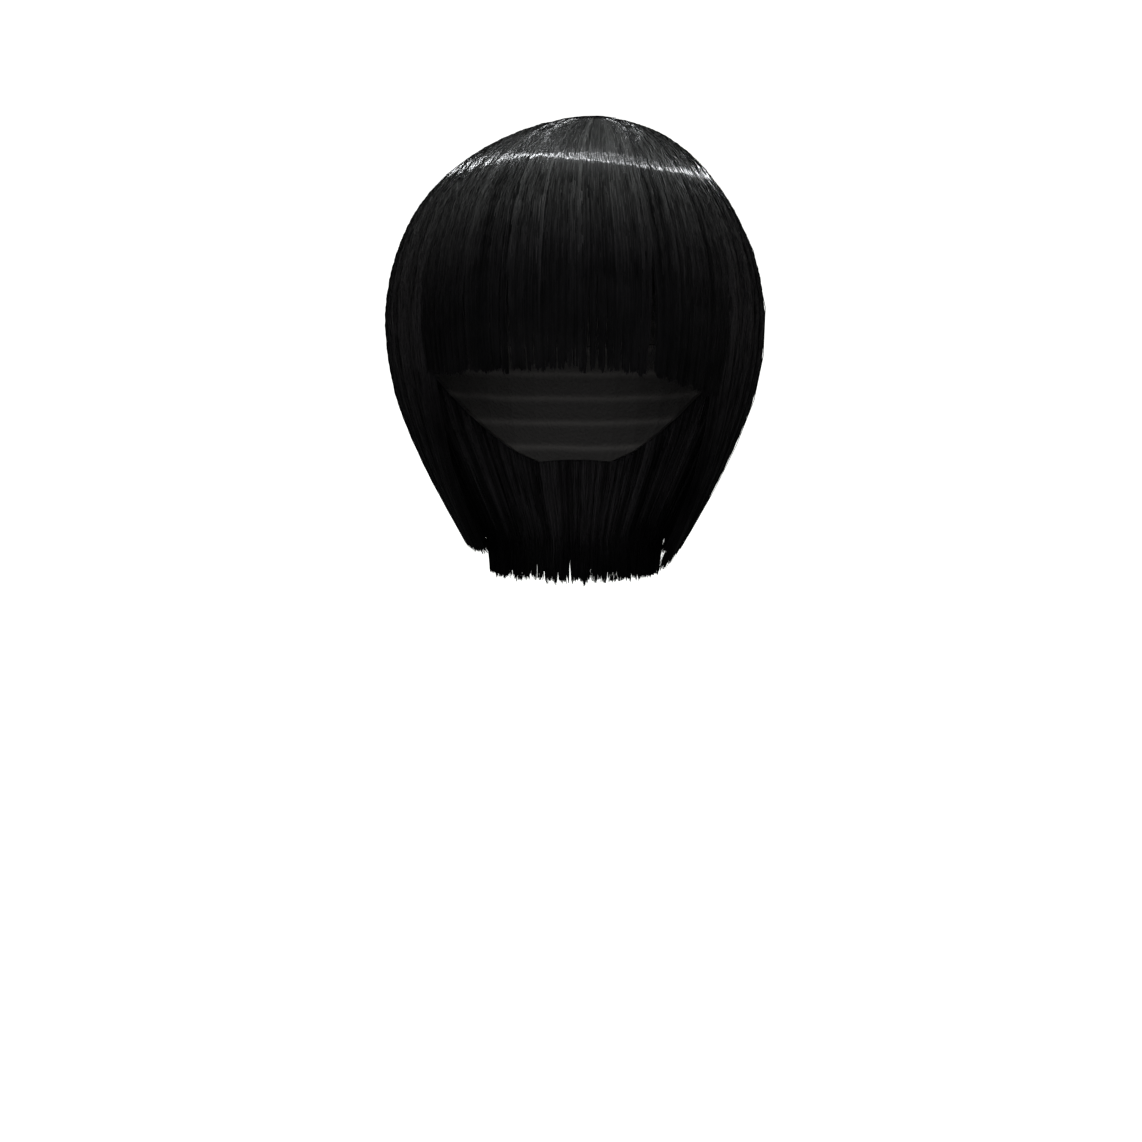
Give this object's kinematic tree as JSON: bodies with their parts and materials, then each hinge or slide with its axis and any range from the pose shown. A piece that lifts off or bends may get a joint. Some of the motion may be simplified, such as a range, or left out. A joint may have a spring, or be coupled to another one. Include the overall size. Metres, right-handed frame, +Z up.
{
  "type": "cosplay wig",
  "caption": "Short glossy black wig with straight hair, a blunt fringe and sides that taper in to the jaw, hollow to take a head.",
  "frame": {"origin": "top of the head, where the inside of the cap rests on it", "axes": "+Z up, -Y the way the wearer faces, +X the wearer's left"},
  "size_m": [0.1792, 0.2144, 0.2239],
  "materials": {
    "hair": "glossy straight synthetic fibre",
    "cap": "matt stretch net with sewn rows"
  },
  "bodies": {
    "root": {"cap_top": "cap", "cap_front": "cap", "cap_side_left": "cap", "cap_side_right": "cap", "cap_back": "cap", "cap_nape": "cap", "crown_whorl": "hair", "fringe": "hair", "side_hair_right": "hair", "side_hair_left": "hair", "back_hair": "hair", "nape_hair": "hair"}
  },
  "joints": []
}
